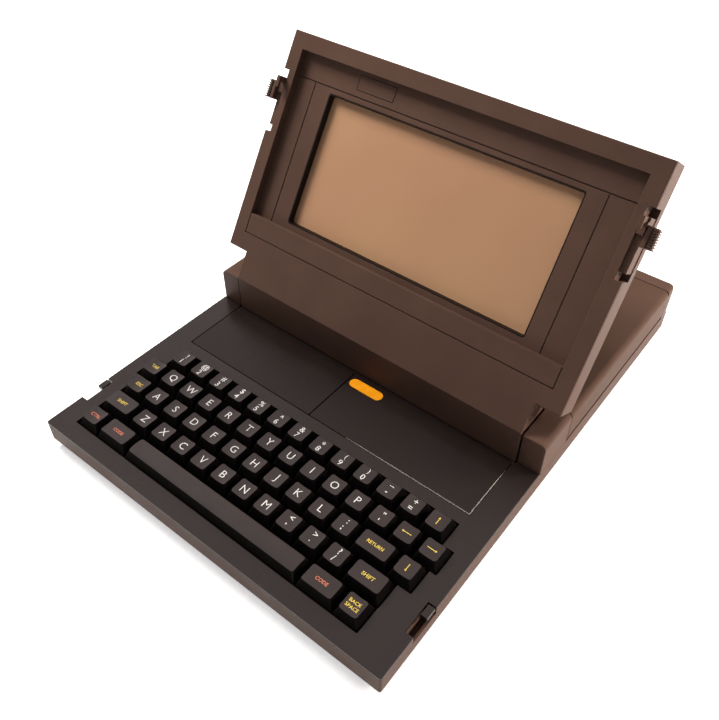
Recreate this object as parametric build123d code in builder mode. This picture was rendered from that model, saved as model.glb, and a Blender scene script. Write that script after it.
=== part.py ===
from build123d import *
import os
from math import cos, radians, sin, sqrt

# A portable computer with a deep base and a lid that closes over the keyboard.
# Millimetres, +X to the user's right, +Y to the back, +Z up.
# The origin is on the resting plane, under the middle of the base.

# Overall sizes of the base
body_width = 293.0
body_depth = 385.0
body_height = 51.2
deck_height = 24.0
foot_height = 2.0
corner_radius = 1.5

# Walls and clearances
tray_wall = 2.0
floor_thickness = 2.5
tray_bottom_radius = 6.0
cover_wall = 2.5
plate_thickness = 2.5
seam_gap = 0.3
shoulder_gap = 0.9
running_gap = 0.05
slide_gap = 0.3
edge_chamfer = 0.5

# Hinge line and the lid's lean behind the vertical when it stands open
hinge_y = -3.4
hinge_z = body_height - 7.4
lean = 32.4

# Lid, measured along its length from the hinge line and out from it
lid_width = body_width - 0.4
lid_reach = body_depth / 2 + hinge_y - 0.5
lid_wide_start = 20.8
chin_width = 255.6
chin_end = 1.33
face_out = 18.3
lid_thickness = 25.5
bezel_thickness = 2.4
lid_wall = 2.4
apron_length = 30.0
apron_thickness = 2.2
lid_edge_radius = 2.5

# Recess in the lid's face that clears the keys, and the screen in it
recess_width = 270.2
recess_low = 50.1
recess_high = lid_reach - 11.8
recess_depth = 6.2
panel_thickness = 2.0
window_width = 203.7
window_low = 55.8
window_high = lid_reach - 35.4
window_shift = -0.85
window_rim = 1.5
window_corner = 2.0
window_well = 5.0
glass_thickness = 2.0
module_depth = 9.0
strip_low = 34.4
groove_width = 0.9
groove_depth = 0.8

# Keyboard
key_pitch = 19.05
row_one_y = -body_depth / 2 + 98.5
key_gap = 0.95
key_top_height = 30.95
key_base_height = 22.8
key_top_width = 12.9
key_top_depth = 12.5
key_dish_radius = 24.0
key_travel = 3.2
stem_size = 4.2
stem_length = 7.2
switch_size = 14.0
switch_top = 19.2
board_thickness = 1.6
keyboard_board_z = 9.5
keyboard_plate_z = 15.5
keyboard_plate_thickness = 1.5
opening_margin_left = 2.0
opening_margin_right = 0.5

# Deck covers between the keyboard and the hinge
cover_front_y = row_one_y + 19.7
cover_back_y = hinge_y - 17.6
cover_left_x = -127.3
cover_split_x = -7.8
cover_right_x = 126.8
cover_line = 0.7
ledge_width = 2.5
ledge_thickness = 1.5
bay_floor_z = 10.5
bay_wall = 1.5

# Shoulders beside the lid and the rear housing
shoulder_inner_x = 129.3
shoulder_front_y = hinge_y - 15.6
shoulder_back_y = hinge_y + 21.4
shoulder_round = 4.5
rear_gap_y = body_depth / 2 - 13.5
rear_gap = 0.8
rear_corner_radius = 4.5
trough_radius = 27.4
trough_wall = 1.6
trough_flange = 3.0
lip_front_y = hinge_y + 13.8

# Hinge pins
pin_radius = 3.0
pin_inner_x = 116.0
pin_outer_x = 141.0
boss_radius = 6.2

# Latches on the lid's edges and their catches in the base
latch_slot_low = lid_reach - 75.8
latch_slot_high = lid_reach - 28.8
latch_slot_depth = 5.3
latch_slot_out = 3.3
latch_bar_low = lid_reach - 70.6
latch_bar_high = lid_reach - 34.8
bar_sink = 2.3
block_low = lid_reach - 46.0
block_high = lid_reach - 37.6
knob_low = lid_reach - 52.6
knob_high = lid_reach - 39.1
knob_reach = 8.6
knob_front = 2.0
knob_width = 7.0
knob_ribs = 8
rib_depth = 0.8
rib_strip = 3.5
knob_groove = 1.2
tooth_length = 4.0
tooth_out = 7.0
barb_length = 4.2
barb_thickness = 2.4
pocket_back_y = -body_depth / 2 + 53.0
pocket_length = 23.0
pocket_inner_x = 140.5
pocket_wall_z = 17.0
pocket_floor_z = 12.0
pocket_wall = 1.5
catch_length = 7.9
catch_thickness = 2.6

# Rear sockets
rear_panel_inset = 6.0
rear_panel_thickness = 2.0
socket_z = (deck_height + body_height) / 2 - 0.5

# Tilt leg under the rear
leg_width = 150.0
leg_length = 42.0
leg_thickness = 3.2
leg_pivot_y = body_depth / 2 - 46.5
leg_pivot_z = 4.8
leg_pin_radius = 1.5
leg_pin_length = 4.0
leg_pocket_depth = 5.0
leg_pocket_gap = 1.5

# Values worked out from the sizes above
half_width = body_width / 2
half_depth = body_depth / 2
rim_height = 1.6
tray_top = deck_height - rim_height
floor_top = foot_height + floor_thickness
inner_half_width = half_width - tray_wall
lean_sin = sin(radians(lean))
lean_cos = cos(radians(lean))
back_out = face_out - lid_thickness
shelf_out = face_out - bezel_thickness
recess_floor = face_out - recess_depth
ledge_top = deck_height - plate_thickness
chin_half = chin_width / 2
window_middle = (window_low + window_high) / 2
window_height = window_high - window_low

# Work planes: lid_plane lies through the hinge line, parallel to the lid's face,
# and lid_profile cuts it across, with its x along the lid and its y out of the face.
lid_up = (0, lean_sin, lean_cos)
lid_out = (0, -lean_cos, lean_sin)
lid_plane = Plane(origin=(0, hinge_y, hinge_z), x_dir=(1, 0, 0), z_dir=lid_out)
lid_profile = Plane(origin=(0, hinge_y, hinge_z), x_dir=lid_up, z_dir=(1, 0, 0))

os.makedirs("parts", exist_ok=True)


def write_part(builder, name):
    """Label a finished piece and write it to its own file."""
    builder.part.label = name
    export_step(builder.part, f"parts/{name}.step")


def lid_rectangle(width, low, high, shift=0.0):
    """A rectangle on the lid, given by how far its ends lie from the hinge line."""
    with Locations((shift, (low + high) / 2)):
        Rectangle(width, high - low)


def box_between(low, high, mode=Mode.ADD):
    """A box between two corners, in the base's own axes."""
    size = [b - a for a, b in zip(low, high)]
    middle = [(a + b) / 2 for a, b in zip(low, high)]
    with Locations(tuple(middle)):
        Box(*size, mode=mode)


# Keyboard layout: each row is its left edge, its number from the back, and its keys in order
# as (name of the piece, width in key pitches).
single = 1.0
wide = 1.5
bar = 8.0
row_left = {1: -122.3, 2: -132.6, 3: -127.8, 4: -127.9, 5: -128.1}
row_keys = {
    1: [("number_keys", single)] * 12 + [("arrow_up_key", single)],
    2: [("tab_key", single)] + [("upper_letter_keys", single)] * 11
       + [("arrow_left_key", single), ("arrow_right_key", single)],
    3: [("escape_key", single)] + [("middle_letter_keys", single)] * 10
       + [("return_key", wide), ("arrow_down_key", single)],
    4: [("left_shift_key", wide)] + [("lower_letter_keys", single)] * 10 + [("right_shift_key", wide)],
    5: [("control_key", single), ("left_code_key", wide), ("space_bar", bar),
        ("right_code_key", wide), ("backspace_key", single)],
}


def row_y(row):
    """The middle of a row of keys, front to back."""
    return row_one_y - (row - 1) * key_pitch


def row_right(row):
    """The right edge of a row of keys."""
    return row_left[row] + key_pitch * sum(width for _, width in row_keys[row])


key_places = []
for row, keys in row_keys.items():
    left = row_left[row]
    for key_name, width in keys:
        key_places.append((key_name, left + width * key_pitch / 2, row_y(row), width))
        left += width * key_pitch

space_bar_guides = 50.0


def stem_places(x, y, width):
    """Where a key is carried: one stem, or three under the space bar."""
    if width == bar:
        return [(x - space_bar_guides, y), (x, y), (x + space_bar_guides, y)]
    return [(x, y)]


# Bottom tray, a moulded pan with a rounded underside
ledge_inner = inner_half_width - ledge_width
pocket_front_y = pocket_back_y - pocket_length
leg_pocket_half = leg_width / 2 + leg_pocket_gap
leg_pocket_front = leg_pivot_y - leg_length - leg_pocket_gap
leg_pocket_back = leg_pivot_y + leg_thickness / 2 + leg_pocket_gap + 1
leg_block_top = foot_height + leg_pocket_depth + floor_thickness
leg_block_half = leg_pocket_half + leg_pin_length + 1
standoff_radius = 3.5
standoff_x = (-125.0, 0.0, 125.0)
keyboard_boss_y = (row_one_y - 85.0, row_one_y + 8.0)
board_z = 6.0
board_front_y = cover_front_y + 0.3
board_back_y = 30.0
board_half_width = 138.0
board_boss_y = (board_front_y + 8.0, board_back_y - 6.0)
with BuildPart() as bottom_tray:
    box_between((-half_width, -half_depth, foot_height), (half_width, half_depth, tray_top))
    fillet(bottom_tray.faces().sort_by(Axis.Z)[0].edges(), tray_bottom_radius)
    fillet(bottom_tray.edges().filter_by(Axis.Z), corner_radius)
    chamfer(bottom_tray.faces().sort_by(Axis.Z)[-1].edges(), edge_chamfer / 2)
    with BuildSketch(Plane.XY.offset(floor_top)):
        RectangleRounded(2 * inner_half_width, body_depth - 2 * tray_wall, edge_chamfer)
    extrude(amount=tray_top - floor_top, mode=Mode.SUBTRACT)
    # Ledge that carries the deck plate along the front and the sides
    for side in (-1, 1):
        x_outer = side * inner_half_width
        x_inner = side * ledge_inner
        box_between((min(x_outer, x_inner), -half_depth + tray_wall, ledge_top - ledge_thickness),
                    (max(x_outer, x_inner), shoulder_front_y, ledge_top))
    box_between((-ledge_inner, -half_depth + tray_wall, ledge_top - ledge_thickness),
                (ledge_inner, -half_depth + tray_wall + ledge_width, ledge_top))
    # Bosses under the keyboard's board and the main board
    with BuildSketch(Plane.XY.offset(floor_top)):
        with Locations(*[(x, y) for x in standoff_x for y in keyboard_boss_y]):
            Circle(standoff_radius)
    extrude(amount=keyboard_board_z - floor_top)
    with BuildSketch(Plane.XY.offset(floor_top)):
        with Locations(*[(x, y) for x in standoff_x for y in board_boss_y]):
            Circle(standoff_radius)
    extrude(amount=board_z - floor_top)
    # Raised block over the tilt leg, with the leg's pocket and pivot holes
    box_between((-leg_block_half, leg_pocket_front - cover_wall, floor_top),
                (leg_block_half, leg_pocket_back + cover_wall, leg_block_top))
    box_between((-leg_pocket_half, leg_pocket_front, 0),
                (leg_pocket_half, leg_pocket_back, foot_height + leg_pocket_depth), Mode.SUBTRACT)
    with BuildSketch(Plane.YZ):
        with Locations((leg_pivot_y, leg_pivot_z)):
            Circle(leg_pin_radius + running_gap)
    extrude(amount=leg_pocket_half + leg_pin_length, both=True, mode=Mode.SUBTRACT)
    # Pockets in the side walls that take the latches, each in a solid block under the deck
    for side in (-1, 1):
        x_block = side * (pocket_inner_x - pocket_wall)
        x_wall = side * inner_half_width
        box_between((min(x_block, x_wall), pocket_front_y - pocket_wall, floor_top),
                    (max(x_block, x_wall), pocket_back_y + pocket_wall, ledge_top))
        x_near = side * pocket_inner_x
        for x_far, low_z in ((side * inner_half_width, pocket_floor_z), (side * (half_width + 1), pocket_wall_z)):
            box_between((min(x_near, x_far), pocket_front_y, low_z),
                        (max(x_near, x_far), pocket_back_y, tray_top + 1), Mode.SUBTRACT)
write_part(bottom_tray, "bottom_tray")

# Deck plate: its rim covers the tray's walls, and its middle sits between them
deck_half_width = inner_half_width - seam_gap
deck_front_y = -half_depth + tray_wall + seam_gap
deck_back_y = shoulder_front_y - slide_gap
rim_low_z = tray_top + seam_gap
with BuildPart() as deck_plate:
    with BuildSketch(Plane.XY.offset(rim_low_z)):
        with Locations((0, (deck_back_y - half_depth) / 2)):
            Rectangle(body_width, deck_back_y + half_depth)
        fillet(vertices().group_by(Axis.Y)[0], corner_radius)
    extrude(amount=deck_height - rim_low_z)
    chamfer(deck_plate.faces().sort_by(Axis.Z)[-1].edges(), edge_chamfer)
    box_between((-deck_half_width, deck_front_y, ledge_top), (deck_half_width, deck_back_y, rim_low_z))
    with BuildSketch(Plane.XY.offset(ledge_top)):
        # Opening that follows the keys' stepped outline
        for row in row_keys:
            opening_left = row_left[row] - opening_margin_left
            opening_right = row_right(row) + opening_margin_right
            with Locations(((opening_left + opening_right) / 2, row_y(row))):
                Rectangle(opening_right - opening_left, key_pitch + 2 * slide_gap)
        # Opening for the covers, open to the hinge at its back
        with Locations(((cover_left_x + cover_right_x) / 2, (cover_front_y + shoulder_front_y) / 2)):
            Rectangle(cover_right_x - cover_left_x + 2 * cover_line,
                      shoulder_front_y - cover_front_y + 2 * cover_line)
        # Slot for the lid's apron, as wide as the space between the shoulders
        with Locations((0, (cover_back_y + shoulder_front_y) / 2)):
            Rectangle(2 * (shoulder_inner_x - slide_gap), shoulder_front_y - cover_back_y)
        # Notches over the latch pockets
        for side in (-1, 1):
            with Locations((side * (pocket_inner_x + half_width + 1) / 2, pocket_back_y - pocket_length / 2)):
                Rectangle(half_width + 1 - pocket_inner_x, pocket_length)
    extrude(amount=plate_thickness, mode=Mode.SUBTRACT)
    # Ledges under the covers' front and outer edges and under the line between them
    ledge_back_y = cover_back_y - trough_flange - slide_gap
    box_between((cover_left_x - 2 * ledge_width, cover_front_y - 2 * ledge_width, ledge_top - ledge_thickness),
                (cover_right_x + 2 * ledge_width, cover_front_y + ledge_width, ledge_top))
    for x in (cover_left_x, cover_split_x, cover_right_x):
        box_between((x - ledge_width, cover_front_y + ledge_width, ledge_top - ledge_thickness),
                    (x + ledge_width, ledge_back_y, ledge_top))
write_part(deck_plate, "deck_plate")

# Deck covers: the left one snaps in over the module bay, the right one is screwed down
cover_thickness = plate_thickness
left_cover_right = cover_split_x - cover_line / 2
right_cover_left = cover_split_x + cover_line / 2


def deck_cover(name, left, right):
    """A flat cover with softened top edges and small stiffening ribs below."""
    with BuildPart() as cover:
        with BuildSketch(Plane.XY.offset(ledge_top)):
            with Locations(((left + right) / 2, (cover_front_y + cover_back_y) / 2)):
                RectangleRounded(right - left, cover_back_y - cover_front_y, edge_chamfer * 2)
        extrude(amount=cover_thickness)
        chamfer(cover.faces().sort_by(Axis.Z)[-1].edges(), edge_chamfer / 2)
        rib_inset = ledge_width + 1.5
        for y in (cover_front_y + rib_inset + 4, cover_back_y - rib_inset - 2):
            box_between((left + rib_inset, y, ledge_top - ledge_thickness), (right - rib_inset, y + 1.2, ledge_top))
    return cover


left_cover = deck_cover("deck_cover_left", cover_left_x, left_cover_right)
write_part(left_cover, "deck_cover_left")
right_cover = deck_cover("deck_cover_right", right_cover_left, cover_right_x)

# Plain amber inlay, let into the right cover
inlay_width = 29.0
inlay_depth = 8.6
inlay_x = 9.0
inlay_y = -30.5
inlay_sink = 0.8
inlay_rise = 0.3
with BuildPart() as inlaid_cover:
    add(right_cover.part)
    with BuildSketch(Plane.XY.offset(deck_height)):
        with Locations((inlay_x, inlay_y)):
            SlotOverall(inlay_width, inlay_depth)
    extrude(amount=-inlay_sink, mode=Mode.SUBTRACT)
write_part(inlaid_cover, "deck_cover_right")
with BuildPart() as inlay:
    with BuildSketch(Plane.XY.offset(deck_height - inlay_sink)):
        with Locations((inlay_x, inlay_y)):
            SlotOverall(inlay_width - 0.2, inlay_depth - 0.2)
    extrude(amount=inlay_sink + inlay_rise)
write_part(inlay, "accent_inlay")

# Module bay under the left cover, an open pan hung from the deck
bay_left = cover_left_x + ledge_width + slide_gap
bay_right = cover_split_x - ledge_width - slide_gap
bay_front = cover_front_y + ledge_width + slide_gap
bay_back = cover_back_y - 6.0
bay_top = ledge_top - ledge_thickness
flange = ledge_width
with BuildPart() as module_bay:
    box_between((bay_left, bay_front, bay_floor_z), (bay_right, bay_back, bay_top))
    box_between((bay_left + bay_wall, bay_front + bay_wall, bay_floor_z + bay_wall),
                (bay_right - bay_wall, bay_back - bay_wall, bay_top + 1), Mode.SUBTRACT)
    box_between((bay_left - flange, bay_front - flange, bay_top - bay_wall), (bay_right + flange, bay_front, bay_top))
    for x in (bay_left - flange, bay_right):
        box_between((x, bay_front, bay_top - bay_wall), (x + flange, bay_back, bay_top))
write_part(module_bay, "module_bay")

# Plug-in module sockets on the bay's floor
module_socket_length = 42.0
module_socket_depth = 9.0
module_socket_height = 3.0
with BuildPart() as module_sockets:
    with Locations(*[(x, (bay_front + bay_back) / 2, bay_floor_z + bay_wall + module_socket_height / 2)
                     for x in (-95.0, -42.0)]):
        Box(module_socket_length, module_socket_depth, module_socket_height)
write_part(module_sockets, "module_sockets")

# Hinge trough, the round channel that the lid's apron swings through
trough_outer = trough_radius + trough_wall
trough_front_z = ledge_top
front_drop = hinge_z - trough_front_z
trough_half = shoulder_inner_x - slide_gap
inner_front = -sqrt(trough_radius ** 2 - front_drop ** 2)
outer_front = -sqrt(trough_outer ** 2 - front_drop ** 2)
trough_back_top = body_height - cover_wall - hinge_z
hinge_section = Plane(origin=(0, hinge_y, hinge_z), x_dir=(0, 1, 0), z_dir=(1, 0, 0))
with BuildPart() as hinge_trough:
    with BuildSketch(hinge_section):
        with BuildLine():
            inner_arc = ThreePointArc((inner_front, -front_drop), (0, -trough_radius), (trough_radius, 0))
            Line(inner_arc @ 1, (trough_radius, trough_back_top))
            Line((trough_radius, trough_back_top), (trough_outer, trough_back_top))
            Line((trough_outer, trough_back_top), (trough_outer, 0))
            outer_arc = ThreePointArc((trough_outer, 0), (0, -trough_outer), (outer_front, -front_drop))
            Line(outer_arc @ 1, inner_arc @ 0)
        make_face()
    extrude(amount=trough_half, both=True)
    # Flange under the covers' back edges
    box_between((-trough_half, cover_back_y - trough_flange, ledge_top - ledge_thickness),
                (trough_half, hinge_y + outer_front + trough_wall / 2, ledge_top))
write_part(hinge_trough, "hinge_trough")

# Shoulders, one each side of the lid's chin, with the bore for the hinge pin
for side, name in ((-1, "shoulder_left"), (1, "shoulder_right")):
    with BuildPart() as shoulder:
        box_between((min(side * shoulder_inner_x, side * half_width), shoulder_front_y, tray_top),
                    (max(side * shoulder_inner_x, side * half_width), shoulder_back_y - shoulder_gap, body_height))
        outer_top = shoulder.edges().filter_by(Axis.Y).group_by(Axis.Z)[-1].sort_by(Axis.X)[0 if side < 0 else -1]
        fillet(outer_top, shoulder_round)
        front_edges = shoulder.faces().sort_by(Axis.Y)[0].edges().filter_by(Axis.X).sort_by(Axis.Z)[-1]
        chamfer(front_edges, edge_chamfer)
        outer_low = shoulder.edges().filter_by(Axis.Y).group_by(Axis.Z)[0].sort_by(Axis.X)[0 if side < 0 else -1]
        chamfer(outer_low, edge_chamfer)
        with BuildSketch(Plane.YZ.offset(side * (shoulder_inner_x - 1))):
            with Locations((hinge_y, hinge_z)):
                Circle(pin_radius + running_gap)
        extrude(amount=side * (pin_outer_x - shoulder_inner_x + 1 + slide_gap), mode=Mode.SUBTRACT)
    write_part(shoulder, name)

# Rear cover, a shell over the back of the base with a tongue that reaches to the lid
with BuildPart() as rear_cover:
    with BuildSketch(Plane.XZ.offset(-shoulder_back_y)):
        with Locations((0, (tray_top + body_height) / 2)):
            Rectangle(body_width, body_height - tray_top)
        fillet(vertices().group_by(Axis.Z)[-1], shoulder_round)
        chamfer(vertices().group_by(Axis.Z)[0], edge_chamfer)
        with Locations((0, (tray_top + body_height - cover_wall) / 2)):
            Rectangle(body_width - 2 * cover_wall, body_height - cover_wall - tray_top, mode=Mode.SUBTRACT)
    extrude(amount=-(rear_gap_y - shoulder_back_y))
    # Front wall behind the shoulders and the tongue between them
    for side in (-1, 1):
        x_in = side * (trough_half + slide_gap)
        x_out = side * (half_width - cover_wall)
        box_between((min(x_in, x_out), shoulder_back_y, tray_top),
                    (max(x_in, x_out), shoulder_back_y + cover_wall, body_height - cover_wall))
    box_between((-trough_half, lip_front_y, body_height - cover_wall),
                (trough_half, shoulder_back_y, body_height))
write_part(rear_cover, "rear_cover")

# Rear rim, the band that ends the housing, open in the middle for the socket panel
rim_front_y = rear_gap_y + rear_gap
rim_wall = 9.0
with BuildPart() as rear_rim:
    box_between((-half_width, rim_front_y, tray_top), (half_width, half_depth, body_height))
    fillet(rear_rim.edges().filter_by(Axis.Z).group_by(Axis.Y)[-1], rear_corner_radius)
    fillet(rear_rim.faces().sort_by(Axis.Z)[-1].edges().group_by(Axis.Y)[1:], shoulder_round - 1)
    box_between((-half_width + rim_wall, rim_front_y - 1, deck_height + cover_wall),
                (half_width - rim_wall, half_depth + 1, body_height - cover_wall - 1), Mode.SUBTRACT)
write_part(rear_rim, "rear_rim")

# Rear panel set into the rim, with cut-outs for the sockets and the switch
panel_low_z = deck_height + cover_wall
panel_high_z = body_height - cover_wall - 1
panel_back_y = half_depth - rear_panel_inset
inlet_x = 112.0
inlet_width = 27.0
inlet_height = 19.6
serial_x = 30.0
serial_width = 53.0
serial_height = 12.0
instrument_x = -40.0
instrument_width = 64.0
instrument_height = 15.0
phone_x = (-96.0, -114.0)
phone_size = 13.0
rocker_x = 80.0
rocker_width = 13.0
rocker_height = 17.0
cut_gap = 0.2
with BuildPart() as rear_panel:
    panel_front_y = panel_back_y - rear_panel_thickness
    box_between((-half_width + rim_wall, panel_front_y, panel_low_z), (half_width - rim_wall, panel_back_y, panel_high_z))
    with BuildSketch(Plane.XZ.offset(-panel_front_y)):
        with Locations((inlet_x, socket_z)):
            Rectangle(inlet_width + cut_gap, inlet_height + cut_gap)
        with Locations((serial_x, socket_z)):
            Rectangle(serial_width + cut_gap, serial_height + cut_gap)
        with Locations((instrument_x, socket_z)):
            Rectangle(instrument_width + cut_gap, instrument_height + cut_gap)
        with Locations(*[(x, socket_z) for x in phone_x]):
            Rectangle(phone_size + cut_gap, phone_size + cut_gap)
        with Locations((rocker_x, socket_z)):
            Rectangle(rocker_width + cut_gap, rocker_height + cut_gap)
    extrude(amount=-rear_panel_thickness, mode=Mode.SUBTRACT)
write_part(rear_panel, "rear_panel")

# Sockets: each is a shell with a recess that a plug goes into
socket_depth = 16.0
socket_wall = 1.5


def socket(name, places, width, height, stand_out):
    """Socket shells in a row, each open to the back."""
    with BuildPart() as shell:
        for x in places:
            box_between((x - width / 2, panel_front_y - socket_depth, socket_z - height / 2),
                        (x + width / 2, panel_back_y + stand_out, socket_z + height / 2))
            box_between((x - width / 2 + socket_wall, panel_front_y - socket_depth + 3, socket_z - height / 2 + socket_wall),
                        (x + width / 2 - socket_wall, panel_back_y + stand_out + 1, socket_z + height / 2 - socket_wall),
                        Mode.SUBTRACT)
    write_part(shell, name)


socket("power_inlet", [inlet_x], inlet_width, inlet_height, 0.8)
socket("serial_socket", [serial_x], serial_width, serial_height, 2.0)
socket("instrument_socket", [instrument_x], instrument_width, instrument_height, 2.0)
socket("phone_sockets", phone_x, phone_size, phone_size, 0.5)

# Power switch: a frame and the rocker that tilts in it
rocker_axis_y = panel_back_y - 2.5
rocker_radius = 6.4
rocker_pin_radius = 1.2
rocker_flat = 1.5
rocker_tilt = 8.0
switch_depth = 14.0
frame_wall = 1.5
rocker_half = rocker_width / 2 - frame_wall
with BuildPart() as switch_frame:
    box_between((rocker_x - rocker_width / 2, panel_back_y - switch_depth, socket_z - rocker_height / 2),
                (rocker_x + rocker_width / 2, panel_back_y + 0.5, socket_z + rocker_height / 2))
    box_between((rocker_x - rocker_half, panel_back_y - switch_depth + frame_wall, socket_z - rocker_height / 2 + frame_wall / 2),
                (rocker_x + rocker_half, panel_back_y + 1, socket_z + rocker_height / 2 - frame_wall / 2), Mode.SUBTRACT)
    with BuildSketch(Plane.YZ.offset(rocker_x - rocker_half - 1)):
        with Locations((rocker_axis_y, socket_z)):
            Circle(rocker_pin_radius + running_gap)
    extrude(amount=2 * rocker_half + 2, mode=Mode.SUBTRACT)
write_part(switch_frame, "power_switch_frame")
with BuildPart() as rocker:
    with BuildSketch(Plane.YZ.offset(rocker_x - rocker_half + slide_gap)):
        with Locations((rocker_axis_y, socket_z)):
            Circle(rocker_radius)
            with PolarLocations(rocker_radius - rocker_flat + rocker_radius / 2, 1, start_angle=-rocker_tilt):
                Rectangle(rocker_radius, 2 * rocker_radius, mode=Mode.SUBTRACT)
    extrude(amount=2 * (rocker_half - slide_gap))
    with BuildSketch(Plane.YZ.offset(rocker_x - rocker_half - 0.8)):
        with Locations((rocker_axis_y, socket_z)):
            Circle(rocker_pin_radius)
    extrude(amount=2 * rocker_half + 1.6)
write_part(rocker, "power_rocker")

# Boards and units inside the base
chip_height = 2.5
chip_x = (-100.0, -60.0, -20.0, 20.0, 60.0, 100.0)
chip_y = (board_front_y + 29.0, board_front_y + 59.0)
memory_drop = 12.0
with BuildPart() as main_board:
    box_between((-board_half_width, board_front_y, board_z), (board_half_width, board_back_y, board_z + board_thickness))
    with Locations(*[(x, y, board_z + board_thickness + chip_height / 2) for x in chip_x for y in chip_y]):
        Box(18, 8, chip_height)
write_part(main_board, "main_board")

unit_z = leg_block_top
unit_front_y = board_back_y + 6.0
unit_back_y = panel_front_y - socket_depth - 2.0
unit_gap = 4.0
with BuildPart() as power_supply:
    box_between((unit_gap / 2, unit_front_y, unit_z), (board_half_width, unit_back_y, body_height - cover_wall - 1))
    chamfer(power_supply.edges().filter_by(Axis.Y), 2)
write_part(power_supply, "power_supply")
with BuildPart() as memory_module:
    box_between((-board_half_width, unit_front_y, unit_z),
                (-unit_gap / 2, unit_back_y, body_height - cover_wall - memory_drop))
    chamfer(memory_module.edges().filter_by(Axis.Y), 2)
write_part(memory_module, "memory_module")

# Keyboard board, plate and switches
keyboard_left = min(row_left.values()) + 0.5
keyboard_right = max(row_right(row) for row in row_keys) - 0.5
keyboard_front = row_y(5) - key_pitch / 2
keyboard_back = row_one_y + key_pitch / 2
with BuildPart() as keyboard_board:
    box_between((keyboard_left, keyboard_front, keyboard_board_z),
                (keyboard_right, keyboard_back, keyboard_board_z + board_thickness))
write_part(keyboard_board, "keyboard_board")

all_stems = [place for _, x, y, width in key_places for place in stem_places(x, y, width)]
switch_base = keyboard_board_z + board_thickness
well_size = stem_size + 2 * slide_gap
well_floor = key_base_height - stem_length - key_travel - slide_gap
plate_hole = switch_size + 0.4
with BuildPart() as keyboard_plate:
    with BuildSketch(Plane.XY.offset(keyboard_plate_z)):
        with Locations(((keyboard_left + keyboard_right) / 2, (keyboard_front + keyboard_back) / 2)):
            Rectangle(keyboard_right - keyboard_left, keyboard_back - keyboard_front)
        with Locations(*all_stems):
            Rectangle(plate_hole, plate_hole, mode=Mode.SUBTRACT)
    extrude(amount=keyboard_plate_thickness)
write_part(keyboard_plate, "keyboard_plate")
with BuildPart() as key_switches:
    with BuildSketch(Plane.XY.offset(switch_base)):
        with Locations(*all_stems):
            Rectangle(switch_size, switch_size)
    extrude(amount=switch_top - switch_base)
    with BuildSketch(Plane.XY.offset(well_floor)):
        with Locations(*all_stems):
            Rectangle(well_size, well_size)
    extrude(amount=switch_top - well_floor, mode=Mode.SUBTRACT)
write_part(key_switches, "key_switches")


# Key caps: each is a tapered block with a dished top, on a square stem
dish_rise = sqrt(key_dish_radius ** 2 - (key_top_width / 2) ** 2)
cap_depth = key_pitch - key_gap
side_taper = cap_depth - key_top_width
for piece in sorted({name for name, *_ in key_places}):
    with BuildPart() as caps:
        for x, y, width in [place for name, *place in key_places if name == piece]:
            cap_width = width * key_pitch - key_gap
            with BuildSketch(Plane.XY.offset(key_base_height)):
                with Locations((x, y)):
                    Rectangle(cap_width, cap_depth)
            with BuildSketch(Plane.XY.offset(key_top_height)):
                with Locations((x, y)):
                    Rectangle(cap_width - side_taper, key_top_depth)
            loft(ruled=True)
            with BuildSketch(Plane.XY.offset(key_base_height - stem_length)):
                with Locations(*stem_places(x, y, width)):
                    Rectangle(stem_size, stem_size)
            extrude(amount=stem_length)
            if width == single:
                with BuildSketch(Plane.XZ.offset(-(y - key_top_depth))):
                    with Locations((x, key_top_height + dish_rise)):
                        Circle(key_dish_radius)
                extrude(amount=-2 * key_top_depth, mode=Mode.SUBTRACT)
    write_part(caps, piece)

# Latch catches, a hooked tab in each side pocket of the base
catch_gap = 1.1
catch_inner_x = pocket_inner_x + catch_gap
catch_outer_x = half_width - 0.4
catch_back_y = pocket_back_y - catch_gap
post_length = 3.4
with BuildPart() as catches:
    for side in (-1, 1):
        x_in = side * catch_inner_x
        x_out = side * catch_outer_x
        x_post = side * (inner_half_width - slide_gap)
        box_between((min(x_in, x_out), catch_back_y - catch_length, deck_height - catch_thickness),
                    (max(x_in, x_out), catch_back_y, deck_height))
        box_between((min(x_in, x_post), catch_back_y - post_length, pocket_floor_z),
                    (max(x_in, x_post), catch_back_y, deck_height - catch_thickness))
write_part(catches, "latch_catches")

# Rubber feet
foot_radius = 7.0
foot_x = half_width - 22.0
for name, y in (("front_feet", -half_depth + 22.0), ("rear_feet", half_depth - 22.0)):
    with BuildPart() as feet:
        with BuildSketch():
            with Locations((-foot_x, y), (foot_x, y)):
                Circle(foot_radius)
        extrude(amount=foot_height)
        chamfer(feet.faces().sort_by(Axis.Z)[0].edges(), 0.5)
    write_part(feet, name)

# Tilt leg, folded flat into the underside, with its pivot pins
with BuildPart() as tilt_leg:
    leg_low_z = leg_pivot_z - leg_thickness / 2
    box_between((-leg_width / 2, leg_pivot_y - leg_length, leg_low_z),
                (leg_width / 2, leg_pivot_y, leg_low_z + leg_thickness))
    fillet(tilt_leg.edges().filter_by(Axis.Z).group_by(Axis.Y)[0], 6)
    box_between((-leg_width / 2 + 22, leg_pivot_y - leg_length + 14, leg_low_z - 1),
                (leg_width / 2 - 22, leg_pivot_y + 1, leg_low_z + leg_thickness + 1), Mode.SUBTRACT)
    for side in (-1, 1):
        with BuildSketch(Plane.YZ.offset(side * (leg_width / 2 - 22))):
            with Locations((leg_pivot_y, leg_pivot_z)):
                Circle(leg_thickness / 2)
        extrude(amount=side * 22)
        with BuildSketch(Plane.YZ.offset(side * leg_width / 2)):
            with Locations((leg_pivot_y, leg_pivot_z)):
                Circle(leg_pin_radius)
        extrude(amount=side * (leg_pocket_gap + leg_pin_length - slide_gap))
write_part(tilt_leg, "tilt_leg")

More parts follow.
